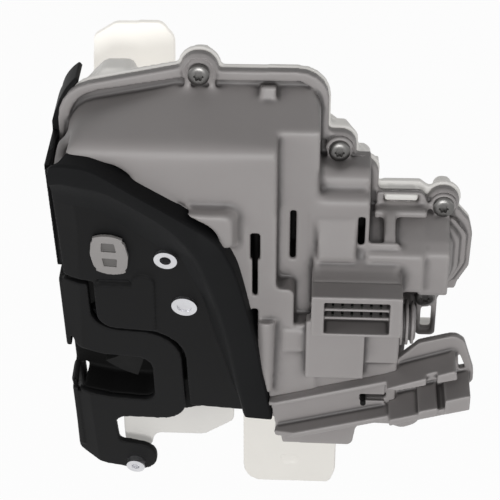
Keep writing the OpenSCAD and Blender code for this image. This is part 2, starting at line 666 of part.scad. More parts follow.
// Holder of the release cable: a trough that rises to the right, with a rail along its
// top, a wide shelf over the seat of the cable's ferrule and a hoop round its end
module cable_holder() color(grey) difference() {
    union() {
        // back wall of the trough, and its lower rail
        slab(-2.8, -1.5) polygon([[30, -67.6], [30, -55.4], [70.6, -43.2], [70.6, -56]]);
        slab(-8.6, -1.5) polygon([[30.5, -68.4], [30.5, -66.9], [41, -64], [76, -54], [76, -56], [41, -66.2]]);
        // upper rail
        slab(-5.8, -1.5) polygon([[31, -56], [31, -54.6], [70, -43.2], [76, -41.4], [76, -43.2]]);
        // shelf
        slab(-9.6, 3) polygon(rounded([[70.4, -43, 0], [75.5, -41, 1], [92.4, -34.7, 0.8],
            [93, -38.4, 0.5], [74, -43.6, 0]]));
        // floor with the two ribs that grip the ferrule
        slab(-11.6, 3) polygon([[72, -57], [72, -54.4], [97.2, -46.6], [97.4, -49], [82, -53.8]]);
        slab(-12, 3) polygon([[81.2, -53.4], [81.2, -50.2], [87.2, -48.4], [87.2, -51.6]]);
        slab(-12, 3) polygon([[89.6, -51], [89.6, -45.4], [95.6, -43.4], [97.4, -43], [97.4, -48.8]]);
        // hoop
        slab(1.4, 4) difference() {
            polygon(rounded([[72, -56, 0], [72, -42, 3], [80.7, -32.6, 3], [92.4, -29, 4],
                [95.4, -31.5, 3], [99, -43, 2], [99.2, -47.4, 2], [97.4, -50, 1], [82, -55, 0]]));
            polygon([[93.4, -34.6], [96.4, -42.4], [94.2, -42.8]]);
        }
    }
    // the left end tapers back to the wall
    linear_extrude(200, center = true) polygon([[25, -20], [44, -20], [41.6, -8.9], [28, -2.7], [25, -2.7]]);
    // notch over the ferrule
    block([83.2, -11, -41.4], [86.6, -7.4, -30]);
    // face of the housing that it sits on
    block([0, -1.6, -90], [74, 30, 0]);
    block([0, y_face, -90], [47.4, 30, 0]);
    latch_pocket();
    block([62.3, -10, -53.9], [71, 4, -51.2]);
}

// Corrugated rubber boot where the cable enters the housing
module cable_boot() color(grey) translate([74, 6, -27.6]) rotate([0, 90, 0]) difference() {
    union() {
        cylinder(h = 5.4, r = 5.6);
        for (i = [0:2]) translate([0, 0, 0.3 + 1.8 * i]) cylinder(h = 0.9, r = 7.6 - 0.3 * i);
    }
    translate([0, 0, -1]) cylinder(h = 9, r = 2);
}

module inner_release_lever() color(steel) translate([lever_at[0], 0, lever_at[1]])
    rotate([0, -lever_rest, 0]) difference() {
        union() {
            slab(4.4, 7.4) polygon(rounded([[-4.6, 4.6, 4.4], [4.6, 4.6, 4.4], [4.6, -4, 0],
                [2.4, -lever_arm - 2, 1.6], [-2.4, -lever_arm - 2, 1.6], [-4.6, -4, 0]]));
            bar([0, -lever_arm], 0.9, -6, 5);
        }
        bar([0, 0], 2.05, 0, 10);
    }

module lever_pin() color(steel) bar(lever_at, 2, 3.6, y_split + 5.8);

// Outside release lever on the back, with an eye for the handle rod
module outer_release_lever() color(steel) difference() {
    slab(y_back + 0.3, y_back + 2.6) polygon(rounded([
        [25, -19, 4], [34, -16, 5], [50, -26, 4], [52, -34, 4], [45, -36, 3], [33, -28, 4],
        [12, -33, 3], [8, -29, 3], [12, -25, 3]]));
    bar(outer_lever_at, 2.05, y_back, y_back + 4);
    bar([47.4, -31], 2.2, y_back, y_back + 4);
}

module outer_lever_pin() color(steel) {
    bar(outer_lever_at, 2, y_back - 4, y_back + 2.9);
    bar(outer_lever_at, 3.6, y_back + 2.9, y_back + 3.8);
}

// Cam that the key cylinder's paddle turns
module key_cam() color(white) difference() {
    union() {
        bar(key_cam_at, 7.6, y_back + 0.3, y_back + 3.4);
        bar(key_cam_at, 2.94, y_back - 3.8, y_back + 1);
        slab(y_back + 0.3, y_back + 2.2) translate(key_cam_at)
            polygon(rounded([[-4, 0, 0], [-2.4, -13, 2], [2.4, -13, 2], [4, 0, 0]]));
    }
    slab(y_back + 1.2, y_back + 4) translate(key_cam_at) square([2.4, 10], center = true);
}

module lock_motor() color(steel) translate([worm_x, drive_y, 0]) difference() {
    union() {
        intersection() {
            translate([0, 0, 15.6]) cylinder(h = 24, r = 9);
            block([-9.5, -7.4, 10], [9.5, 7.4, 42]);
        }
        translate([0, 0, 14.6]) cylinder(h = 1.4, r = 2.8);
    }
    translate([0, 0, 12]) cylinder(h = 13.6, r = 1.05);
}

// Worm on the motor's shaft, a right-hand thread
module motor_worm() color(brass) translate([worm_x, drive_y, 0]) {
    cylinder(h = 25, r = 1);
    translate([0, 0, -8]) cylinder(h = 2.6, r = 2);
    translate([0, 0, 9.4]) cylinder(h = 1.6, r = 2);
    translate([0, 0, wheel_at[1] - 2 * worm_pitch])
        linear_extrude(4 * worm_pitch, twist = -1440, slices = 56, $fn = 10)
            rotate(180) translate([1.25, 0]) circle(r = 3.3, $fn = 10);
}

// Worm wheel with the pinion of the lock slide on its back
module worm_wheel() color(white) difference() {
    union() {
        bar(wheel_at, 13.3, drive_y - 2.5, drive_y + 2.5);
        slab(drive_y - 2, drive_y + 2) translate(wheel_at)
            for (i = [0:wheel_teeth - 1]) rotate((i + 0.5) * 360 / wheel_teeth)
                polygon([[13, -1.15], [13, 1.15], [15.9, 0.5], [15.9, -0.5]]);
        slab(drive_y + 2, drive_y + 7.5) translate(wheel_at)
            pinion_outline();
    }
    bar(wheel_at, 1.55, 10, 40);
}

module pinion_outline() {
    circle(pinion_r - 1.2);
    for (i = [0:pinion_teeth - 1]) rotate(i * 360 / pinion_teeth)
        polygon([[4, -0.95], [4, 0.95], [pinion_r, 0.62], [pinion_r + 0.8, 0.3],
            [pinion_r + 0.8, -0.3], [pinion_r, -0.62]]);
}

module wheel_axle() color(steel) bar(wheel_at, 1.5, 18, y_back - 1.6);

// Lock slide: a rack beside the pinion, with the blade that blocks the release chain
module lock_slide() color(white) translate([wheel_at[0] - pinion_r, 0, wheel_at[1]]) {
    slab(drive_y + 3, drive_y + 7) {
        polygon(rounded([[-7.4, -22, 1], [-1.4, -22, 1], [-1.4, 21, 1], [-7.4, 21, 1]]));
        for (i = [-4:3]) translate([0, (i + 0.5) * PI * pinion_module])
            polygon([[-1.6, -1.05], [-0.1, -0.62], [0.7, -0.3], [0.7, 0.3], [-0.1, 0.62], [-1.6, 1.05]]);
    }
}

module microswitches() color(black)
    for (z = [-19, 24]) {
        block([13.6, 31, z], [23, 38, z + 5.6]);
        block([15.4, 30, z + 1.6], [17.2, 31, z + 4]);
    }

// Light tab above the rear housing, on its back
module upper_tab() color(cream) slab(y_back, y_back + 2) polygon(rounded([
    [-26.4, 26, 2], [-24.6, 55, 3], [-17.5, 59.8, 5], [-3, 60.2, 3], [1, 54.6, 4], [0.6, 26, 2]]));

// Light tongue that hangs below the housing, with a shallow dish
module lower_tab() color(cream) difference() {
    slab(24, 26.4) polygon(rounded([
        [23, -77, 0], [23, -116.4, 7], [54, -116.4, 3], [55.8, -110, 2], [55.6, -70.5, 0],
        [29, -70.5, 0]]));
    translate([38.5, 23, -105.4]) rotate([-90, 0, 0]) cylinder(h = 1.4, r = 2.4);
    translate([40.6, 23, -105.4]) rotate([-90, 0, 0]) cylinder(h = 1.4, r = 2);
}

front_housing();
rear_housing();
latch_plate();
striker_plate();
edge_trim();
latch_case();
pin_plate();
catch();
pawl();
catch_pin();
pawl_rivet();
fixing_bush();
catch_spring();
pawl_spring();
catch_buffer();
emergency_rotor();
plate_screw();
housing_screws();
connector_socket();
connector_pins();
cable_holder();
cable_boot();
inner_release_lever();
lever_pin();
outer_release_lever();
outer_lever_pin();
key_cam();
lock_motor();
motor_worm();
worm_wheel();
wheel_axle();
lock_slide();
microswitches();
upper_tab();
lower_tab();
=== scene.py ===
# A side door latch for a car: a tilted steel latch with its lock motor, in one
# housing of two moulded halves, with the socket for the door loom and the holder
# of the inside release cable. Lengths are in metres, but outlines in millimetres.
import math

import bmesh
import bpy
import numpy as np
from mathutils import Matrix, Vector


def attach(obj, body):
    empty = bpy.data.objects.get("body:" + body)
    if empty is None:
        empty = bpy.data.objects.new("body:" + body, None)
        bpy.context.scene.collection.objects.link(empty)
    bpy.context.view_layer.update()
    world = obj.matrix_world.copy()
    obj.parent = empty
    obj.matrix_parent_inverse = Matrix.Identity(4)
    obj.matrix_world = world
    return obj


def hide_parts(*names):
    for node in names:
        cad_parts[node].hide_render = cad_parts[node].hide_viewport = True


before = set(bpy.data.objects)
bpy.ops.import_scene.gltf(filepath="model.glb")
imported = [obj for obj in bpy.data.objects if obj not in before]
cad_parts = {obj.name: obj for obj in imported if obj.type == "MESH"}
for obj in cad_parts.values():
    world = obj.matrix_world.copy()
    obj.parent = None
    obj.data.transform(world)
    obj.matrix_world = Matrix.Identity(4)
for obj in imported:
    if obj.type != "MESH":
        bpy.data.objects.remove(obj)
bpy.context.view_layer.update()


# --- Room, light and camera ---
# The latch stands clear of a pale floor. One broad lamp stands
# in front of it at eye height, with two weak ones beside, as in a catalogue picture.
def soft_lamp(name, place, size, power):
    """A round lamp that faces the middle of the latch."""
    latch_middle = Vector((0.03, 0.01, -0.03))
    data = bpy.data.lights.new(name, "AREA")
    data.shape = "DISK"
    data.size = size
    data.energy = power
    lamp = bpy.data.objects.new(name, data)
    bpy.context.collection.objects.link(lamp)
    lamp.location = place
    lamp.rotation_euler = (latch_middle - Vector(place)).to_track_quat("-Z", "Y").to_euler()


soft_lamp("front_lamp", (0.02, -1.2, 0.12), 0.55, 8.8)
soft_lamp("left_lamp", (-0.95, -0.5, 0.3), 0.4, 2.0)
soft_lamp("right_lamp", (0.95, -0.5, 0.25), 0.4, 0.9)


def new_node(tree, kind, **values):
    """A shader node with constants in its named inputs."""
    node = tree.nodes.new(kind)
    for label, value in values.items():
        node.inputs[label.replace("_", " ")].default_value = value
    return node


def seen_directly(tree):
    """A value of one for the rays that look straight at the background, or through glass."""
    path = new_node(tree, "ShaderNodeLightPath")
    value = path.outputs["Is Camera Ray"]
    for ray in ("Is Glossy Ray", "Is Transmission Ray"):
        either = new_node(tree, "ShaderNodeMath")
        either.operation = "MAXIMUM"
        tree.links.new(value, either.inputs[0])
        tree.links.new(path.outputs[ray], either.inputs[1])
        value = either.outputs[0]
    return value


def blend_into(tree, value, dim, bright, output):
    """Shows the bright shader where the value is one, and else the dim one."""
    pick = new_node(tree, "ShaderNodeMixShader")
    tree.links.new(value, pick.inputs[0])
    tree.links.new(dim.outputs[0], pick.inputs[1])
    tree.links.new(bright.outputs[0], pick.inputs[2])
    tree.links.new(pick.outputs[0], new_node(tree, output).inputs["Surface"])


white = (1, 1, 1, 1)
world = bpy.data.worlds.new("studio")
bpy.context.scene.world = world
world.use_nodes = True
tree = world.node_tree
tree.nodes.clear()
air = new_node(tree, "ShaderNodeBackground", Color=white, Strength=0.12)
backdrop = new_node(tree, "ShaderNodeBackground", Color=white, Strength=1)
blend_into(tree, seen_directly(tree), air, backdrop, "ShaderNodeOutputWorld")

bpy.ops.object.select_all(action="DESELECT")
bpy.ops.mesh.primitive_plane_add(size=1, location=(0.03, 0.3, -0.2))
floor = bpy.context.object
floor.name = "floor"
floor.scale = (6, 6, 1)
paper = bpy.data.materials.new("white_paper")
paper.use_nodes = True
tree = paper.node_tree
tree.nodes.clear()
matt = new_node(tree, "ShaderNodeBsdfDiffuse", Color=(0.6, 0.6, 0.6, 1))
glow = new_node(tree, "ShaderNodeEmission", Color=white, Strength=1)
share = new_node(tree, "ShaderNodeMath")
share.operation = "MULTIPLY"
share.inputs[1].default_value = 0.97
tree.links.new(seen_directly(tree), share.inputs[0])
blend_into(tree, share.outputs[0], matt, glow, "ShaderNodeOutputMaterial")
floor.data.materials.append(paper)

# the photograph's view: from in front and 36 degrees above, through a long lens
back = Vector((0.0353, -0.8082, 0.5878))
right = Vector((0.99905, 0.04362, 0.0))
up = Vector((-0.02564, 0.58722, 0.80902))
picture_middle = Vector((0.0262, 0.0026, 0.0020))
view_distance = 0.55
spot = picture_middle + back * view_distance
camera_data = bpy.data.cameras.new("photo_camera")
camera_data.sensor_width = 36
camera_data.lens = 126.72
camera_data.clip_end = 20
camera = bpy.data.objects.new("photo_camera", camera_data)
bpy.context.collection.objects.link(camera)
camera.matrix_world = Matrix((
    (right.x, up.x, back.x, spot.x),
    (right.y, up.y, back.y, spot.y),
    (right.z, up.z, back.z, spot.z),
    (0, 0, 0, 1)))
bpy.context.scene.camera = camera
bpy.context.scene.view_settings.view_transform = "Standard"

# --- Front housing ---
# The half that faces the plug: one injection moulding of grey filled polyamide with
# a fine eroded skin. Its edges are rounded by the tool, and its corners have fillets.
MM = 1000  # millimetres in a metre


def only(obj):
    """Selects one object alone, and makes it the active one."""
    bpy.ops.object.select_all(action="DESELECT")
    obj.select_set(True)
    bpy.context.view_layer.objects.active = obj


def solid_copy(node, name):
    """A copy of a CAD solid as one closed skin."""
    piece = bpy.data.objects.new(name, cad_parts[node].data.copy())
    bpy.context.collection.objects.link(piece)
    piece.data.materials.clear()
    only(piece)
    bpy.ops.object.mode_set(mode="EDIT")
    bpy.ops.mesh.select_all(action="SELECT")
    bpy.ops.mesh.remove_doubles(threshold=0.000001)
    bpy.ops.object.mode_set(mode="OBJECT")
    return piece


def board(outline, low, high, across=False):
    """A board between two depths from (x, z) points, or one across X from (y, z) points."""
    bpy.ops.object.select_all(action="DESELECT")
    bpy.ops.mesh.primitive_circle_add(vertices=len(outline), fill_type="NGON")
    piece = bpy.context.object
    for vertex, (a, z) in zip(piece.data.vertices, outline):
        vertex.co = (low / MM, a / MM, z / MM) if across else (a / MM, low / MM, z / MM)
    thick = (high - low) / MM
    bpy.ops.object.mode_set(mode="EDIT")
    bpy.ops.mesh.select_all(action="SELECT")
    bpy.ops.mesh.extrude_region_move(
        TRANSFORM_OT_translate={"value": (thick, 0, 0) if across else (0, thick, 0)})
    bpy.ops.mesh.select_all(action="SELECT")
    bpy.ops.mesh.normals_make_consistent(inside=False)
    bpy.ops.object.mode_set(mode="OBJECT")
    return piece


def cut_away(piece, cutter):
    """Takes the cutter's shape out of a piece, and removes the cutter."""
    only(piece)
    cut = piece.modifiers.new("cut", "BOOLEAN")
    cut.operation = "DIFFERENCE"
    cut.solver = "EXACT"
    cut.object = cutter
    bpy.ops.object.modifier_apply(modifier="cut")
    bpy.data.objects.remove(cutter)


def broad_fillets(piece, rooms, rounds, fade):
    """Smooths what lies in the given boxes, fading out over their outermost part."""
    only(piece)
    group = piece.vertex_groups.new(name="fillets")
    grades = 8
    levels = {}
    for vertex in piece.data.vertices:
        place = vertex.co * MM
        share = 0
        for low, high in rooms:
            inside = min(min(place[i] - low[i], high[i] - place[i]) / fade[i] for i in range(3))
            share = max(share, min(1, inside))
        if share > 0:
            levels.setdefault(math.ceil(share * grades), []).append(vertex.index)
    for level, members in levels.items():
        group.add(members, level / grades, "REPLACE")
    soft = piece.modifiers.new("fillets", "SMOOTH")
    soft.factor = 0.5
    soft.iterations = rounds
    soft.vertex_group = "fillets"
    bpy.ops.object.modifier_apply(modifier="fillets")
    piece.vertex_groups.clear()


def mark_hollows(piece, rounds=12, sharpest=0.09):
    """Stores at each point how far it lies in an inner corner, or below zero on an edge."""
    mesh = piece.data
    count = len(mesh.vertices)
    spots = np.empty(count * 3)
    mesh.vertices.foreach_get("co", spots)
    spots = spots.reshape(-1, 3)
    normals = np.empty(count * 3)
    mesh.vertex_normals.foreach_get("vector", normals)
    normals = normals.reshape(-1, 3)
    ends = np.empty(len(mesh.edges) * 2, dtype=int)
    mesh.edges.foreach_get("vertices", ends)
    a, b = ends.reshape(-1, 2).T
    way = spots[b] - spots[a]
    way /= np.maximum(np.linalg.norm(way, axis=1), 1e-9)[:, None]
    near = np.maximum(np.bincount(a, minlength=count) + np.bincount(b, minlength=count), 1)
    hollow = (np.bincount(a, (normals[a] * way).sum(1), count)
              - np.bincount(b, (normals[b] * way).sum(1), count)) / near
    for _ in range(rounds):
        around = (np.bincount(a, hollow[b], count) + np.bincount(b, hollow[a], count)) / near
        hollow = (hollow + around) / 2
    layer = mesh.attributes.new("hollow", "FLOAT", "POINT")
    layer.data.foreach_set("value", np.clip(hollow / sharpest, -1, 1).astype(np.float32))


def moulded(node, name, voxel, rounds, limit, body="housing", cuts=(), adds=(), fillets=()):
    """The solid with the soft edges and fillets of a moulding, and at most limit triangles."""
    piece = solid_copy(node, name)
    for cutter in cuts:
        cut_away(piece, cutter)
    only(piece)
    for extra in adds:
        extra.select_set(True)
    if adds:
        bpy.ops.object.join()
    skin = piece.modifiers.new("skin", "REMESH")
    skin.mode = "VOXEL"
    skin.voxel_size = voxel
    soft = piece.modifiers.new("soft", "SMOOTH")
    soft.factor = 0.5
    soft.iterations = rounds
    bpy.ops.object.modifier_apply(modifier="skin")
    bpy.ops.object.modifier_apply(modifier="soft")
    for rooms, broad, fade in fillets:
        broad_fillets(piece, rooms, broad, fade)
    count = sum(len(face.vertices) - 2 for face in piece.data.polygons)
    if count > limit:
        thin = piece.modifiers.new("thin", "DECIMATE")
        thin.ratio = limit / count
        bpy.ops.object.modifier_apply(modifier="thin")
    bpy.ops.object.shade_smooth()
    mark_hollows(piece)
    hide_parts(node)
    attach(piece, body)
    return piece


def surface_group(name, inputs):
    """A shader group with the outputs that new_material takes, and its two end nodes."""
    group = bpy.data.node_groups.new(name, "ShaderNodeTree")
    for label, kind, value in inputs:
        socket = group.interface.new_socket(label, in_out="INPUT", socket_type="NodeSocket" + kind)
        socket.default_value = value
    for label, kind in (("Color", "Color"), ("Roughness", "Float"), ("Height", "Float")):
        group.interface.new_socket(label, in_out="OUTPUT", socket_type="NodeSocket" + kind)
    return group, group.nodes.new("NodeGroupInput"), group.nodes.new("NodeGroupOutput")


def colour_mix(tree, factor, first, second):
    """The blend of two colours; the second may be a socket or a plain colour."""
    mix = tree.nodes.new("ShaderNodeMix")
    mix.data_type = "RGBA"
    tree.links.new(factor, mix.inputs["Factor"])
    tree.links.new(first, mix.inputs["A"])
    if isinstance(second, tuple):
        mix.inputs["B"].default_value = second
    else:
        tree.links.new(second, mix.inputs["B"])
    return mix.outputs["Result"]


def vary_roughness(tree, noise, amount, start, end):
    """Adds a share of the noise to the roughness that the group is given."""
    add = new_node(tree, "ShaderNodeMath")
    add.operation = "MULTIPLY_ADD"
    add.inputs[1].default_value = amount
    tree.links.new(noise.outputs["Fac"], add.inputs[0])
    tree.links.new(start.outputs["Roughness"], add.inputs[2])
    tree.links.new(add.outputs[0], end.inputs["Roughness"])


# skin of a moulding: slow shade changes, and the fine pits of an eroded tool
moulded_skin, start, end = surface_group("moulded_skin", [
    ("Colour", "Color", (0.5, 0.5, 0.5, 1)), ("Shade", "Color", (0.4, 0.4, 0.4, 1)),
    ("Grain per metre", "Float", 2200), ("Roughness", "Float", 0.5), ("Hollow", "Float", 0)])
link = moulded_skin.links.new
place = new_node(moulded_skin, "ShaderNodeTexCoord")
slow = new_node(moulded_skin, "ShaderNodeTexNoise", Scale=28, Detail=5, Roughness=0.55)
fine = new_node(moulded_skin, "ShaderNodeTexNoise", Detail=2)
spread = new_node(moulded_skin, "ShaderNodeMapRange", From_Min=0.35, From_Max=0.7)
link(place.outputs["Object"], slow.inputs["Vector"])
link(place.outputs["Object"], fine.inputs["Vector"])
link(start.outputs["Grain per metre"], fine.inputs["Scale"])
link(slow.outputs["Fac"], spread.inputs["Value"])
tint = colour_mix(moulded_skin, spread.outputs["Result"], start.outputs["Colour"], start.outputs["Shade"])
# inner corners get a painted shade, nearly black, and outer edges a painted highlight, paler
painted_corner_shade = new_node(moulded_skin, "ShaderNodeMapRange", From_Max=0.5, To_Max=0.75)
painted_edge_highlight = new_node(moulded_skin, "ShaderNodeMapRange", From_Max=-0.8, To_Max=0.07)
for part in (painted_corner_shade, painted_edge_highlight):
    link(start.outputs["Hollow"], part.inputs["Value"])
tint = colour_mix(moulded_skin, painted_corner_shade.outputs["Result"], tint, (0.02, 0.018, 0.018, 1))
tint = colour_mix(moulded_skin, painted_edge_highlight.outputs["Result"], tint, (0.72, 0.7, 0.68, 1))
link(tint, end.inputs["Color"])
link(fine.outputs["Fac"], end.inputs["Height"])
vary_roughness(moulded_skin, fine, 0.12, start, end)


def new_material(name, group, values, bump, depth=0.00005, hollows=False, **settings):
    """A Principled material fed by one of the surface groups."""
    mat = bpy.data.materials.new(name)
    mat.use_nodes = True
    shader = mat.node_tree.nodes["Principled BSDF"]
    surface = mat.node_tree.nodes.new("ShaderNodeGroup")
    surface.node_tree = group
    for label, value in values.items():
        surface.inputs[label].default_value = value
    for label, value in settings.items():
        shader.inputs[label.replace("_", " ")].default_value = value
    link = mat.node_tree.links.new
    # the stored hollow measure drives a painted shade in inner corners and a painted highlight on outer edges
    if hollows:
        stored = mat.node_tree.nodes.new("ShaderNodeAttribute")
        stored.attribute_name = "hollow"
        link(stored.outputs["Fac"], surface.inputs["Hollow"])
    link(surface.outputs["Color"], shader.inputs["Base Color"])
    link(surface.outputs["Roughness"], shader.inputs["Roughness"])
    relief = new_node(mat.node_tree, "ShaderNodeBump", Strength=bump, Distance=depth)
    link(surface.outputs["Height"], relief.inputs["Height"])
    link(relief.outputs["Normal"], shader.inputs["Normal"])
    return mat


def dress(piece, slot, *materials):
    """Gives a piece its materials; the slot argument is not used."""
    piece.data.materials.clear()
    for material in materials:
        piece.data.materials.append(material)


# with hollows, its inner corners get a painted shade and its outer edges a painted highlight
grey_polyamide = new_material(
    "grey_polyamide", moulded_skin,
    {"Colour": (0.305, 0.287, 0.283, 1), "Shade": (0.28, 0.262, 0.258, 1),
     "Grain per metre": 2600, "Roughness": 0.42}, 0.2, hollows=True)
# the corner under the bulge is open, and the loop for the lower tongue hangs there
open_corner = [(90.1, -24.2), (100, -24.2), (100, -58), (79.5, -58), (79.5, -31.5), (84.5, -30.6),
               (87.2, -28)]
lower_loop = [(80.4, -27), (80.4, -41.6), (81.6, -42.6), (85.8, -42.6), (87, -41.6), (87, -27),
              (85.4, -27), (85.4, -39.6), (84.8, -40.4), (82.5, -40.4), (81.9, -39.6), (81.9, -27)]
side_web = [(-3, 34.4), (11.7, 36.2), (19, 30), (21, 30), (21, 18), (2, 20), (-3, 28)]
socket_fillet = [(5.5, 3.5), (4.9, 3.5), (4.75, 1), (4, -1.2), (2.7, -2.9), (0.9, -4), (-1.6, -4.6),
                 (-4, -4.8), (-4, -6), (5.5, -6)]
adds = [board(lower_loop, 18.2, 21.4), board(side_web, -33.6, -29, across=True),
        board(socket_fillet, 46.2, 73, across=True)]
# legs of the collar round the upper screw
for leg_low, leg_high in ((5.5, 7.2), (13.2, 14.9)):
    adds.append(board([(leg_low, 50.6), (leg_high, 50.6), (leg_high, 57), (leg_low, 57)], 18.2, 21.5))
# lip that follows the trim, in short overlapping strips on the trim's own tilt
trim_turn = Matrix.Rotation(math.radians(-5), 4, "Z") @ Matrix.Rotation(math.radians(5), 4, "X")
for strip in (((-29.8, 39), (-29.7, 35.6), (-21, 35.4), (-21, 39)),
              ((-22, 39), (-22, 35.4), (-14.8, 34.8), (-14.8, 36.9)),
              ((-15.6, 37), (-15.4, 36.2), (-11, 33.6), (-10.5, 33)),
              ((-11.5, 33.8), (-11.2, 33.2), (-8.7, 29.6), (-7.6, 30.8)),
              ((-9, 31.4), (-8.9, 29.9), (-3.7, 25.8), (-2.6, 27.4)),
              ((-4, 28), (-4, 25.8), (2.2, 21.4), (3.3, 23.4)),
              ((1.8, 24), (1.8, 21.7), (8.2, 17.2), (9.3, 19.2))):
    patch = board(strip, -2.05, 1.45)
    for vertex in patch.data.vertices:
        tilted = trim_turn @ vertex.co
        vertex.co = (tilted.x, vertex.co.y, tilted.z)
    adds.append(patch)
# boxes to smooth, how often, and how far each box fades out along X, Y and Z
fillets = [
    ([((-35, -4, 17), (47.8, 16, 56)), ((-35, -9, 3), (25, 3, 24)), ((72, -1, -16), (89, 14, 10)),
      ((88, 6, -24), (98, 18, 8))], 30, (2, 2, 2)),
    ([((-42, -12, 30), (30, 19.8, 62))], 300, (18, 1.2, 8)),
    ([((66, -2, 5), (84, 18, 12.5))], 30, (1.5, 1.5, 1.5)),
    ([((43.5, 3, 14.5), (63.5, 19, 31))], 90, (2.5, 2.5, 2.5)),
    ([((45, -5, -8), (74, 6.5, 4))], 20, (2, 2, 2))]
front = moulded("front_housing", "front_shell", voxel=0.00045, rounds=5, limit=190000,
                cuts=[board(open_corner, 15, 23)], adds=adds, fillets=fillets)


def inside_outline(x, z, outline):
    """Whether a point of the front view lies within a closed outline."""
    inside = False
    for (a, b), (c, d) in zip(outline, outline[1:] + outline[:1]):
        if (b > z) != (d > z) and x < (c - a) * (z - b) / (d - b) + a:
            inside = not inside
    return inside


# the bead along the flange stands proud of the groove beside it
groove = [(-30.6, -27), (-30.6, 38), (-27.5, 45.5), (-21, 49), (5.5, 54.2), (12, 53.4), (41, 53.5),
          (45.5, 50), (46.4, 46), (46.4, 33), (55.2, 33), (55.4, 24), (62.8, 22), (62.8, 10.6), (79, 10),
          (91, 5), (93.3, 1), (93.3, -13), (90.6, -18), (87, -28), (84, -33), (74, -38), (19, -60),
          (19, -27)]
flange_front, flange_back, bead_foot, bead_height, bead_slope = 19.2, 21.6, -20, 0.0011, 1.2
for vertex in front.data.vertices:
    x, y, z = vertex.co * MM
    if flange_front < y < flange_back and z > bead_foot and not inside_outline(x, z, groove):
        vertex.co.y -= bead_height * min(1, (flange_back - y) / bead_slope)
# faces inside the open slots get a painted shade, nearly black
painted_slot_shade = new_material(
    "painted_slot_shade", moulded_skin,
    {"Colour": (0.012, 0.0115, 0.011, 1), "Shade": (0.008, 0.008, 0.008, 1),
     "Grain per metre": 2600, "Roughness": 0.7}, 0.1, Specular_IOR_Level=0.1)
dress(front, "housing_grey", grey_polyamide, painted_slot_shade)
slots = [((26.3, -0.9, 1.2), (29.7, 13, 11.7)), ((26.9, -0.9, -12.7), (29, 13, 2.2)),
         ((26.5, -0.9, -34.7), (29.1, 13, -17.5)), ((38.4, 5.9, -3), (40.7, 17, 15.8)),
         ((59.5, 5.7, 2.4), (62.1, 17, 13.9))]
for face in front.data.polygons:
    at = face.center * MM
    if any(all(low[i] < at[i] < high[i] for i in range(3)) for low, high in slots):
        face.material_index = 1

# --- Plug socket ---
# A shroud of the same grey polyamide as the front housing, with ribs inside, and the
# tinned terminals that are pressed into its floor.
turned_metal, start, end = surface_group("turned_metal", [
    ("Colour", "Color", (0.7, 0.7, 0.72, 1)), ("Stain", "Color", (0.5, 0.5, 0.5, 1)),
    ("Roughness", "Float", 0.3)])
link = turned_metal.links.new
place = new_node(turned_metal, "ShaderNodeTexCoord")
slow = new_node(turned_metal, "ShaderNodeTexNoise", Scale=220, Detail=6)
link(place.outputs["Object"], slow.inputs["Vector"])
link(colour_mix(turned_metal, slow.outputs["Fac"], start.outputs["Colour"], start.outputs["Stain"]),
     end.inputs["Color"])
link(slow.outputs["Fac"], end.inputs["Height"])
vary_roughness(turned_metal, slow, 0.2, start, end)


def finish(material, *names):
    """Gives CAD pieces that are shown as they are their procedural material."""
    for name in names:
        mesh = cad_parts[name].data
        mesh.materials.clear()
        mesh.materials.append(material)


shroud = moulded("connector_socket", "plug_shroud", voxel=0.00028, rounds=2, limit=90000)
dress(shroud, "housing_grey", grey_polyamide)
# the terminals' tin is coloured nearly black, a painted shade for the deep socket
tin_in_painted_shade = new_material(
    "tin_in_painted_shade", turned_metal,
    {"Colour": (0.03, 0.03, 0.028, 1), "Stain": (0.02, 0.02, 0.019, 1), "Roughness": 0.45}, 0.05, Metallic=1)
finish(tin_in_painted_shade, "connector_pins")

# --- Lock drive ---
# A small can motor with a brass worm turns a nylon wheel, whose pinion moves the
# nylon lock slide past black microswitches. The motor's can and the axle are zinc plated.
bright_zinc = new_material(
    "bright_zinc", turned_metal,
    {"Colour": (0.75, 0.75, 0.77, 1), "Stain": (0.58, 0.58, 0.6, 1), "Roughness": 0.2}, 0.05, Metallic=1)
yellow_brass = new_material(
    "yellow_brass", turned_metal,
    {"Colour": (0.75, 0.55, 0.22, 1), "Stain": (0.5, 0.34, 0.12, 1), "Roughness": 0.3}, 0.05, Metallic=1)
white_nylon = new_material(
    "white_nylon", moulded_skin,
    {"Colour": (0.8, 0.8, 0.77, 1), "Shade": (0.72, 0.72, 0.68, 1),
     "Grain per metre": 2400, "Roughness": 0.4}, 0.1)
black_polyamide = new_material(
    "black_polyamide", moulded_skin,
    {"Colour": (0.003, 0.003, 0.003, 1), "Shade": (0.004, 0.004, 0.004, 1),
     "Grain per metre": 2400, "Roughness": 0.65}, 0.2, Specular_IOR_Level=0.1)
finish(bright_zinc, "lock_motor", "wheel_axle")
finish(yellow_brass, "motor_worm")
finish(white_nylon, "worm_wheel", "lock_slide")
finish(black_polyamide, "microswitches")

# --- Release levers and key cam ---
# Levers stamped from steel, the inner one blackened and the outer one zinc plated, on
# turned pins, and a nylon cam for the paddle of the key cylinder.
dark_steel = new_material(
    "dark_steel", turned_metal,
    {"Colour": (0.003, 0.003, 0.003, 1), "Stain": (0.002, 0.002, 0.002, 1), "Roughness": 0.5}, 0.08,
    Specular_IOR_Level=0.15)
finish(dark_steel, "inner_release_lever")
finish(bright_zinc, "lever_pin", "outer_release_lever", "outer_lever_pin")
finish(white_nylon, "key_cam")

# --- Rear housing ---
# The other half, moulded in natural white polyamide. A weak glow stands for the light
# that the thin plastic lets through. Its rim and its screw bosses stand out behind the
# grey flange.
# its inner corners get a painted shade, and its outer edges a painted highlight
white_polyamide = new_material(
    "white_polyamide", moulded_skin,
    {"Colour": (0.45, 0.44, 0.42, 1), "Shade": (0.41, 0.4, 0.385, 1),
     "Grain per metre": 2400, "Roughness": 0.42}, 0.2, hollows=True,
    Emission_Color=(0.86, 0.845, 0.81, 1), Emission_Strength=0.32)
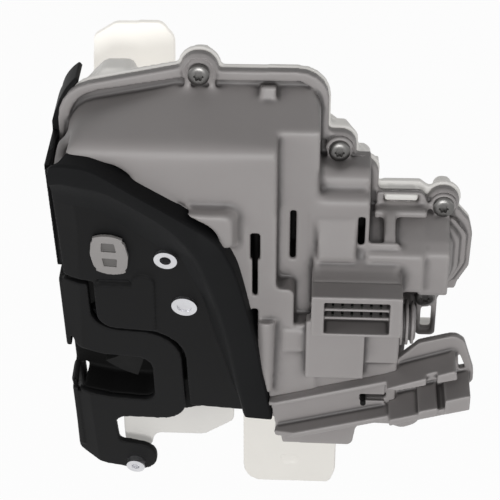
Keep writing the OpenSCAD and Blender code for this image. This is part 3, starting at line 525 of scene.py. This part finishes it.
# what would show above the flange's steps at the upper right
steps_up = [(50.2, 75), (50.2, 36.4), (58.9, 36.3), (59.1, 27.4), (66.4, 25.2)]
inner_steps = [(49.2, 29), (57.5, 29), (57.5, 20), (66.2, 18), (66.2, 13)]
cuts = [board(steps_up + [(66.4, 15.6), (80.5, 15.4), (82.5, 12.5), (92, 10), (98, 2), (100, 20), (80, 75)],
              23.6, 44),
        board(steps_up + [(66.4, 17), (79, 17), (79, 75)], 21.8, 24),
        board([(49.2, 75)] + inner_steps + [(80.5, 13), (92, 8), (98, 0), (100, 20), (80, 75)], 27, 46),
        board(open_corner, 15, 44)]


def peg(x, z, radius, low=22.5, high=30):
    """A round boss along Y, with a rounded end."""
    bpy.ops.object.select_all(action="DESELECT")
    bpy.ops.mesh.primitive_cylinder_add(
        vertices=40, radius=radius / MM, depth=(high - low) / MM, rotation=(math.pi / 2, 0, 0),
        location=(x / MM, (low + high) / 2 / MM, z / MM))
    bpy.ops.object.transform_apply(location=True, rotation=True, scale=True)
    bpy.ops.object.mode_set(mode="EDIT")
    bpy.ops.mesh.select_mode(type="FACE")
    bpy.ops.mesh.select_all(action="DESELECT")
    peg_mesh = bmesh.from_edit_mesh(bpy.context.object.data)
    round_faces = [face for face in peg_mesh.faces if len(face.verts) > 30]
    max(round_faces, key=lambda face: face.calc_center_median().y).select = True
    bmesh.update_edit_mesh(bpy.context.object.data)
    bpy.ops.mesh.inset(thickness=radius / 5 / MM)
    bpy.ops.transform.translate(value=(0, radius / 8 / MM, 0))
    bpy.ops.object.mode_set(mode="OBJECT")
    return bpy.context.object


# (x, z) of the four screws, from the upper one round to the one in the lower corner
screw_places = ((10.1, 56.6), (53.3, 30.6), (86.6, 10.6), (82.8, -25.1))
adds = [peg(*screw_places[1], 3.3), peg(60.2, 22.2, 3.2), peg(*screw_places[2], 3.1)]
# the tongue in the lower loop, a wall that closes the cut, and the rim in the upper loop
lower_tongue = [(81.4, -38.6), (81.4, -43), (86, -43), (86, -38.6)]
closing_wall = [(47.2, 42), (49.2, 42)] + inner_steps + [
    (64.5, 13), (64.5, 16.6), (55.8, 18.6), (55.8, 27.3), (47.2, 27.3)]
rim_at_loop = [(66.3, 8), (66.3, 15.4), (67, 16.2), (79, 16.4), (81.6, 14.5), (82.5, 10)]
adds += [board(lower_tongue, 21.6, 23.4), board(closing_wall, 26, 34), board(rim_at_loop, 22.2, 24.2)]
rear = moulded("rear_housing", "rear_shell", voxel=0.0006, rounds=4, limit=190000, cuts=cuts, adds=adds)
dress(rear, "housing_white", white_polyamide)

# --- Housing screws ---
# Four zinc-plated thread-forming screws with domed heads and six-lobed recesses. They
# pull the two halves together.
dull_zinc = new_material(
    "dull_zinc", turned_metal,
    {"Colour": (0.19, 0.185, 0.18, 1), "Stain": (0.11, 0.108, 0.105, 1), "Roughness": 0.22}, 0.06, Metallic=1)


def lobed_screw(name, at, head_r, head_y, head_h, shank_r, length, recess):
    """A pan-head screw along Y, in metres, with a six-lobed recess in the front of its head."""
    bpy.ops.object.select_all(action="DESELECT")
    bpy.ops.mesh.primitive_cylinder_add(
        vertices=48, radius=head_r, depth=head_h, rotation=(math.pi / 2, 0, 0),
        location=(at[0], head_y + head_h / 2, at[1]))
    screw = bpy.context.object
    screw.name = name
    bpy.ops.object.transform_apply(location=True, rotation=True, scale=True)
    bpy.ops.object.mode_set(mode="EDIT")
    bpy.ops.mesh.select_mode(type="FACE")

    def pick_end(sign):
        """Selects the round face at the end along Y that has the sign."""
        mesh = bmesh.from_edit_mesh(screw.data)
        for face in mesh.faces:
            face.select = False
        round_faces = [face for face in mesh.faces if len(face.verts) > 40]
        max(round_faces, key=lambda face: sign * face.calc_center_median().y).select = True
        bmesh.update_edit_mesh(screw.data)

    # domed rim in three steps, each a share of the head's radius and height
    pick_end(-1)
    for step, lift in ((0.12, 0.16), (0.16, 0.10), (0.16, 0.04)):
        bpy.ops.mesh.inset(thickness=head_r * step)
        bpy.ops.transform.translate(value=(0, -head_h * lift, 0))
    # six lobes
    bpy.ops.mesh.inset(thickness=head_r * 0.06)
    mesh = bmesh.from_edit_mesh(screw.data)
    for vertex in mesh.verts:
        if vertex.select:
            x, z = vertex.co.x - at[0], vertex.co.z - at[1]
            turn = math.atan2(z, x)
            reach = recess * (1 + 0.17 * math.cos(6 * turn))
            vertex.co.x, vertex.co.z = at[0] + reach * math.cos(turn), at[1] + reach * math.sin(turn)
    bmesh.update_edit_mesh(screw.data)
    bpy.ops.mesh.extrude_region_move(TRANSFORM_OT_translate={"value": (0, head_h * 0.75, 0)})
    bpy.ops.mesh.inset(thickness=recess * 0.15)
    # shank with a blunt point
    pick_end(1)
    bpy.ops.mesh.inset(thickness=head_r - shank_r)
    bpy.ops.mesh.extrude_region_move(TRANSFORM_OT_translate={"value": (0, length, 0)})
    bpy.ops.mesh.inset(thickness=shank_r * 0.5)
    bpy.ops.transform.translate(value=(0, shank_r * 0.5, 0))
    bpy.ops.object.mode_set(mode="OBJECT")
    bpy.ops.object.shade_smooth_by_angle(angle=math.radians(40))
    return screw


first_x, first_z = screw_places[0]
first = lobed_screw("housing_screw_1", (first_x / MM, first_z / MM), head_r=0.0033, head_y=0.0157,
                    head_h=0.0016, shank_r=0.00145, length=0.0108, recess=0.0014)
screws = [first]
for number, (x, z) in enumerate(screw_places[1:], 2):
    screw = bpy.data.objects.new("housing_screw_%d" % number, first.data.copy())
    bpy.context.collection.objects.link(screw)
    screw.data.transform(Matrix.Translation(((x - first_x) / MM, 0, (z - first_z) / MM)))
    screws.append(screw)
for screw in screws:
    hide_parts("housing_screws")
    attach(screw, "housing")
    dress(screw, "zinc_steel", dull_zinc)

# --- Latch case ---
# A tray moulded in black polyamide, behind the plates, that the catch and the pawl turn
# in. It is held between the plates and the front housing.
case = moulded("latch_case", "latch_case_moulding", voxel=0.0006, rounds=2, limit=90000)
dress(case, "case_black", black_polyamide)

# --- Catch, pawl and springs ---
# The forked catch and the pawl are blanked from steel and blackened, on pins that are
# riveted into a plate. Wire springs turn them, and a rubber buffer stops the catch.
soft_rubber = new_material(
    "soft_rubber", moulded_skin,
    {"Colour": (0.0052, 0.0054, 0.0058, 1), "Shade": (0.0075, 0.0077, 0.0082, 1),
     "Grain per metre": 1800, "Roughness": 0.55}, 0.3, Specular_IOR_Level=0.1)
finish(dark_steel, "catch", "pawl", "catch_pin")
finish(bright_zinc, "pin_plate", "pawl_rivet", "catch_spring", "pawl_spring")
finish(soft_rubber, "catch_buffer")

# --- Latch plate ---
# Pressed steel with a satin black coat, raised a little in a square pad and folded
# back along its left edge. A wall is bent back from there. The bush is pressed in.
plate_turn = Matrix.Rotation(math.radians(-5), 4, "Z") @ Matrix.Rotation(math.radians(12), 4, "X")
to_plate = plate_turn.inverted()


def fold_back(piece, slope=0.3):
    """Bends the strip left of the fold line back, as the press does."""
    fold_x, lean_below, lean, fold_end, front_part = -0.0272, 0.010, 0.075, -0.0315, 0.004
    for vertex in piece.data.vertices:
        place = to_plate @ vertex.co
        edge = max(fold_x - lean * max(0, lean_below - place.z), fold_end)
        if place.x < edge and place.y < front_part:
            place.y += (edge - place.x) * slope
            vertex.co = plate_turn @ place


black_coat, start, end = surface_group("black_coat", [
    ("Colour", "Color", (0.02, 0.02, 0.02, 1)), ("Bloom", "Color", (0.03, 0.03, 0.03, 1)),
    ("Roughness", "Float", 0.35)])
link = black_coat.links.new
place = new_node(black_coat, "ShaderNodeTexCoord")
slow = new_node(black_coat, "ShaderNodeTexNoise", Scale=45, Detail=6)
orange_peel = new_node(black_coat, "ShaderNodeTexNoise", Scale=1500, Detail=1)
link(place.outputs["Object"], slow.inputs["Vector"])
link(place.outputs["Object"], orange_peel.inputs["Vector"])
link(colour_mix(black_coat, slow.outputs["Fac"], start.outputs["Colour"], start.outputs["Bloom"]),
     end.inputs["Color"])
link(orange_peel.outputs["Fac"], end.inputs["Height"])
vary_roughness(black_coat, slow, 0.15, start, end)
satin_black = new_material(
    "satin_black", black_coat,
    {"Colour": (0.0058, 0.0058, 0.006, 1), "Bloom": (0.0085, 0.0085, 0.0088, 1), "Roughness": 0.5},
    0.12, Specular_IOR_Level=0.1)
plate = moulded("latch_plate", "latch_plate_pressing", voxel=0.0004, rounds=3, limit=150000)
fold_back(plate)
# the side wall's front edge slopes back at its top, where it leans in to the housing
wall_x, wall_foot, behind_plate = -27.5, 4, 4.5
wall_front, top_front, wall_back = 1.5, 20, 33
slope_from, slope = 29, 4
lean_from, lean_height, lean = 37, 5, 1.4
for vertex in plate.data.vertices:
    x, y, z = vertex.co * MM
    if z > wall_foot and x < wall_x and (to_plate @ vertex.co).y * MM > behind_plate:
        edge = min(wall_front + slope * max(0, z - slope_from), top_front)
        vertex.co.y = min(max(y, edge), wall_back) / MM
        vertex.co.x += lean * min(1, max(0, z - lean_from) / lean_height) / MM
dress(plate, "plate_black", satin_black)
finish(bright_zinc, "fixing_bush")

# --- Striker plate ---
# The lower pressing, with the open mouth for the striker and the lug for its
# zinc-plated screw.
lower = moulded("striker_plate", "striker_plate_pressing", voxel=0.0004, rounds=3, limit=150000)
fold_back(lower)
dress(lower, "plate_black", satin_black)
finish(bright_zinc, "plate_screw")

# --- Edge trim ---
# A band of black rubber that seals the latch to the shut face of the door: flat in
# front, and sloped down to the plate along its inner edge.
plate_normal = (trim_turn.inverted() @ plate_turn).to_3x3() @ Vector((0, 1, 0))


def even_line(points, count):
    """Points at even steps along a smooth curve through the given ones."""
    knots = [Vector(p) for p in points]
    guides = [2 * knots[0] - knots[1]] + knots + [2 * knots[-1] - knots[-2]]
    parts = 20
    fine = []
    for i in range(len(knots) - 1):
        a, b, c, d = guides[i:i + 4]
        for step in range(parts):
            t = step / parts
            fine.append(0.5 * (2 * b + (c - a) * t + (2 * a - 5 * b + 4 * c - d) * t * t
                               + (3 * b - a - 3 * c + d) * t * t * t))
    fine.append(knots[-1])
    run = [0]
    for i in range(1, len(fine)):
        run.append(run[-1] + (fine[i] - fine[i - 1]).length)
    line = []
    at = 0
    for step in range(count):
        want = run[-1] * step / (count - 1)
        while at < len(run) - 2 and run[at + 1] < want:
            at += 1
        share = (want - run[at]) / max(run[at + 1] - run[at], 1e-9)
        line.append(fine[at].lerp(fine[at + 1], share))
    return line


# the band's outer edge, the brow where its slope begins, and its inner edge
steps = 110
outer = even_line([
    (-33.6, 33), (-33.2, 37), (-30.5, 38.6), (-24.6, 38.5), (-21, 37.8), (-17.2, 35.9), (-8.5, 30.2),
    (3.3, 22.8), (13.8, 15.6), (18.3, 10.8), (20.6, 5.7), (23, -0.6), (26, -14), (29.2, -31.3),
    (31.2, -45), (33.9, -62)], steps)
brow = even_line([
    (-33.4, 31), (-29.7, 31.4), (-23.7, 30.3), (-17.6, 29.3), (-11.7, 26.4), (-5.8, 22.7), (0.1, 18.5),
    (4.5, 14.4), (7.5, 10.5), (10.6, 5.1), (13.5, -3.3), (16.6, -14), (20.0, -30), (22.3, -46),
    (25.0, -62)], steps)
inner = even_line([
    (-33.2, 23), (-29.9, 21.3), (-25.3, 20.4), (-19.1, 19), (-13.4, 14.3), (-7.5, 9.6), (-0.7, 4),
    (4.4, 0.4), (6.9, -5.8), (9.4, -13.1), (11.3, -20.2), (13.5, -33.5), (16.2, -46.1),
    (19.2, -62)], steps)
crest = -6.5  # the band's front face, in its own tilted frame
# its section at each step, from the back of the outer edge over the brow to the plate
rows = []
for a, b, c in zip(outer, brow, inner):
    seat = -(plate_normal.x * c.x + plate_normal.z * c.y) / plate_normal.y
    rear_edge = -5.3 + 8.8 * min(1, max(0, (a.x + 30.5) / 3))
    turn = a.lerp(b, 0.05)
    rim = b.lerp(a, 0.12)
    soft = b.lerp(c, 0.16)
    mid = b.lerp(c, 0.6)
    under = b.lerp(c, 0.3)
    rows.append([
        (a.x, rear_edge, a.y), (a.x, crest + min(1.6, (rear_edge - crest) * 0.6), a.y),
        (a.x, crest + 0.5, a.y), (turn.x, crest, turn.y), (rim.x, crest, rim.y), (b.x, crest + 0.25, b.y),
        (soft.x, crest + 0.9 + 0.08 * (seat - crest), soft.y), (mid.x, crest + 0.72 * (seat - crest), mid.y),
        (c.x, seat, c.y), (c.x, seat + 1.2, c.y), (under.x, max(rear_edge, crest + 1.8), under.y)])
across = len(rows[0])
bpy.ops.object.select_all(action="DESELECT")
bpy.ops.mesh.primitive_grid_add(x_subdivisions=across - 1, y_subdivisions=steps - 1, size=1)
trim = bpy.context.object
trim.name = "edge_seal"
order = sorted(range(len(trim.data.vertices)),
               key=lambda i: (round(trim.data.vertices[i].co.y, 5), round(trim.data.vertices[i].co.x, 5)))
for count, index in enumerate(order):
    trim.data.vertices[index].co = trim_turn @ (Vector(rows[count // across][count % across]) / MM)
# close the back and both ends
bpy.ops.object.mode_set(mode="EDIT")
bpy.ops.mesh.select_mode(type="VERT")
bpy.ops.mesh.select_all(action="DESELECT")
mesh = bmesh.from_edit_mesh(trim.data)
mesh.verts.ensure_lookup_table()
first_column = order[::across]
last_column = order[across - 1::across]
for i in range(steps - 1):
    mesh.faces.new([mesh.verts[j] for j in (
        first_column[i], first_column[i + 1], last_column[i + 1], last_column[i])])
for end_row in (order[:across], order[-across:]):
    mesh.faces.new([mesh.verts[j] for j in end_row])
bmesh.update_edit_mesh(trim.data)
bpy.ops.mesh.select_all(action="SELECT")
bpy.ops.mesh.normals_make_consistent(inside=False)
bpy.ops.object.mode_set(mode="OBJECT")
bpy.ops.object.shade_smooth_by_angle(angle=math.radians(50))
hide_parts("edge_trim")
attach(trim, "housing")
dress(trim, "trim_rubber", soft_rubber)

# --- Emergency rotor ---
# A grey lobed button with two driving pockets, level with the latch plate. It is
# turned with a key when the lock drive fails.
grey_acetal = new_material(
    "grey_acetal", moulded_skin,
    {"Colour": (0.31, 0.295, 0.288, 1), "Shade": (0.28, 0.267, 0.26, 1),
     "Grain per metre": 3000, "Roughness": 0.4}, 0.15)
shaded_acetal = new_material(
    "shaded_acetal", moulded_skin,
    {"Colour": (0.13, 0.124, 0.12, 1), "Shade": (0.11, 0.105, 0.10, 1),
     "Grain per metre": 3000, "Roughness": 0.5}, 0.15)
rotor = moulded("emergency_rotor", "emergency_button", voxel=0.00015, rounds=2, limit=60000,
                body="emergency_rotor")
dress(rotor, "rotor_grey", grey_acetal, shaded_acetal)
# the two pockets lie in shade, above and below its middle
rotor_x, rotor_z = -17.8, 0.6
pocket_front, pocket_floor = -1.35, -0.6
pocket_half_width, pocket_near, pocket_far = 2.6, 0.9, 5.8
for face in rotor.data.polygons:
    place = (to_plate @ face.center) * MM
    sideways, along = abs(place.x - rotor_x), abs(place.z - rotor_z)
    in_pocket = sideways < pocket_half_width and pocket_near < along < pocket_far
    if in_pocket and pocket_front < place.y < pocket_floor:
        face.material_index = 1

# --- Cable holder ---
# A ribbed trough in grey polyamide for the end of the inside release cable, and a
# bellows that keeps water out of the lever's room.
for node, name, rounds, limit in (("cable_holder", "cable_trough", 4, 120000),
                                  ("cable_boot", "cable_bellows", 3, 60000)):
    dress(moulded(node, name, voxel=0.00035, rounds=rounds, limit=limit), "housing_grey", grey_polyamide)

# --- Pale tabs ---
# Two flat tabs in thin cream plastic that stand out above and below the housing.
# Light comes through them, more through the upper one; a glow stands for it.
for node, name, material, glow in (("upper_tab", "upper_flap", "cream_plastic", 0.68),
                                   ("lower_tab", "lower_flap", "cream_plastic_lower", 0.3)):
    cream = new_material(
        material, moulded_skin,
        {"Colour": (0.6, 0.585, 0.55, 1), "Shade": (0.56, 0.545, 0.515, 1),
         "Grain per metre": 2000, "Roughness": 0.45}, 0.15,
        Emission_Color=(0.80, 0.775, 0.73, 1), Emission_Strength=glow)
    dress(moulded(node, name, voxel=0.0005, rounds=3, limit=60000), "cream_plastic", cream)

# --- Last update ---
# The view layer is brought up to date.
bpy.context.view_layer.update()
